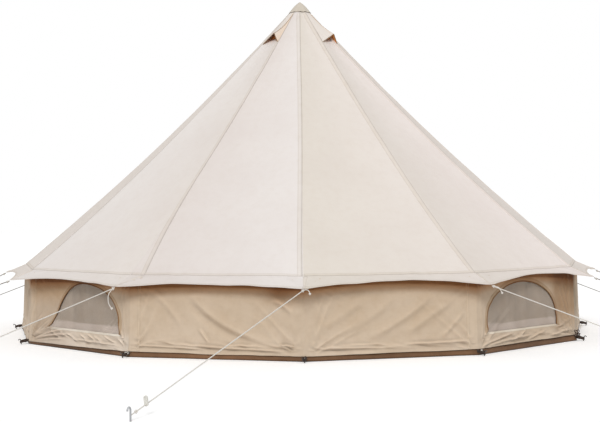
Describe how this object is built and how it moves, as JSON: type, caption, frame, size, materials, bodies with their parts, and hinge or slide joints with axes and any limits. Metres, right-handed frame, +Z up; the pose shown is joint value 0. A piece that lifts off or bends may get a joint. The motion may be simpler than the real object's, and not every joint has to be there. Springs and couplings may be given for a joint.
{
  "type": "bell tent",
  "caption": "Round bell tent: conical canvas roof on a centre pole, low walls with net windows, hooded vents, zipped A-frame door, guy ropes with runners and pegs.",
  "frame": {"origin": "on the ground under the centre pole, at the middle of the groundsheet's lower face", "axes": "+Z up, +Y through the door, -Y through the plain corner opposite it, +X to the right when looking along +Y"},
  "size_m": [7.31, 8.5078, 2.93],
  "materials": {
    "roof_canvas": "matt cotton canvas",
    "peak_cap": "coated canvas",
    "wall_canvas": "matt cotton canvas, sand",
    "net": "fine insect net",
    "groundsheet": "coated groundsheet, brown",
    "steel": "galvanised",
    "black_plastic": "moulded",
    "zip_metal": "blackened",
    "rope": "braided",
    "runner_plastic": "moulded"
  },
  "bodies": {
    "tent": {"roof_canvas": "roof_canvas", "peak_cap": "peak_cap", "vent_hood_1": "roof_canvas", "vent_hood_2": "roof_canvas", "vent_hood_3": "roof_canvas", "vent_hood_4": "roof_canvas", "wall_canvas": "wall_canvas", "window_net_1": "net", "window_net_2": "net", "window_net_3": "net", "window_net_4": "net", "groundsheet": "groundsheet", "pole_foot": "black_plastic", "centre_pole_lower": "steel", "centre_pole_upper": "steel", "pole_crown": "black_plastic", "door_side_right": "wall_canvas", "door_side_left": "wall_canvas", "a_frame_leg_right": "steel", "a_frame_leg_left": "steel", "a_frame_crown": "steel", "guy_rope_01": "rope", "guy_peg_01": "steel", "guy_rope_02": "rope", "guy_peg_02": "steel", "guy_rope_03": "rope", "guy_peg_03": "steel", "guy_rope_04": "rope", "guy_peg_04": "steel", "guy_rope_05": "rope", "guy_peg_05": "steel", "guy_rope_06": "rope", "guy_peg_06": "steel", "guy_rope_07": "rope", "guy_peg_07": "steel", "guy_rope_08": "rope", "guy_peg_08": "steel", "guy_rope_09": "rope", "guy_peg_09": "steel", "guy_rope_10": "rope", "guy_peg_10": "steel", "guy_rope_11": "rope", "guy_peg_11": "steel", "guy_rope_door": "rope", "guy_peg_door": "steel"},
    "door_right": {"door_flap_right": "wall_canvas"},
    "door_left": {"door_flap_left": "wall_canvas"},
    "zip": {"zip_pull": "zip_metal"},
    "runner_01": {"guy_runner_01": "runner_plastic"},
    "runner_02": {"guy_runner_02": "runner_plastic"},
    "runner_03": {"guy_runner_03": "runner_plastic"},
    "runner_04": {"guy_runner_04": "runner_plastic"},
    "runner_05": {"guy_runner_05": "runner_plastic"},
    "runner_06": {"guy_runner_06": "runner_plastic"},
    "runner_07": {"guy_runner_07": "runner_plastic"},
    "runner_08": {"guy_runner_08": "runner_plastic"},
    "runner_09": {"guy_runner_09": "runner_plastic"},
    "runner_10": {"guy_runner_10": "runner_plastic"},
    "runner_11": {"guy_runner_11": "runner_plastic"},
    "runner_door": {"guy_runner_door": "runner_plastic"}
  },
  "joints": [
    {"name": "door_right_swing", "type": "hinge", "parent": "tent", "child": "door_right", "pos_m": [0.59791, 2.33979, 0.0074], "axis": [0.2988, 0.2742, -0.9141], "range_deg": [0, 110]},
    {"name": "door_left_swing", "type": "hinge", "parent": "tent", "child": "door_left", "pos_m": [-0.59791, 2.33979, 0.0074], "axis": [0.2988, -0.2742, 0.9141], "range_deg": [0, 110]},
    {"name": "zip_slide", "type": "slide", "parent": "door_left", "child": "zip", "axis": [0, -0.3614, 0.9324], "range_m": [0, 1.45]},
    {"name": "runner_01_slide", "type": "slide", "parent": "tent", "child": "runner_01", "axis": [0.3692, 0.9074, 0.2007], "range_m": [0, 0.45]},
    {"name": "runner_02_slide", "type": "slide", "parent": "tent", "child": "runner_02", "axis": [-0.5383, 0.8171, 0.2063], "range_m": [0, 0.45]},
    {"name": "runner_03_slide", "type": "slide", "parent": "tent", "child": "runner_03", "axis": [-0.7692, 0.5748, 0.2792], "range_m": [0, 0.45]},
    {"name": "runner_04_slide", "type": "slide", "parent": "tent", "child": "runner_04", "axis": [-0.8985, 0, 0.439], "range_m": [0, 0.45]},
    {"name": "runner_05_slide", "type": "slide", "parent": "tent", "child": "runner_05", "axis": [-0.825, -0.4778, 0.3017], "range_m": [0, 0.45]},
    {"name": "runner_06_slide", "type": "slide", "parent": "tent", "child": "runner_06", "axis": [-0.4826, -0.8233, 0.2988], "range_m": [0, 0.45]},
    {"name": "runner_07_slide", "type": "slide", "parent": "tent", "child": "runner_07", "axis": [0.4826, -0.8233, 0.2988], "range_m": [0, 0.45]},
    {"name": "runner_08_slide", "type": "slide", "parent": "tent", "child": "runner_08", "axis": [0.825, -0.4778, 0.3017], "range_m": [0, 0.45]},
    {"name": "runner_09_slide", "type": "slide", "parent": "tent", "child": "runner_09", "axis": [0.8985, 0, 0.439], "range_m": [0, 0.45]},
    {"name": "runner_10_slide", "type": "slide", "parent": "tent", "child": "runner_10", "axis": [0.7692, 0.5748, 0.2792], "range_m": [0, 0.45]},
    {"name": "runner_11_slide", "type": "slide", "parent": "tent", "child": "runner_11", "axis": [0.4815, 0.8518, 0.2063], "range_m": [0, 0.45]},
    {"name": "runner_door_slide", "type": "slide", "parent": "tent", "child": "runner_door", "axis": [0, -0.711, 0.7031], "range_m": [0, 0.45]}
  ]
}
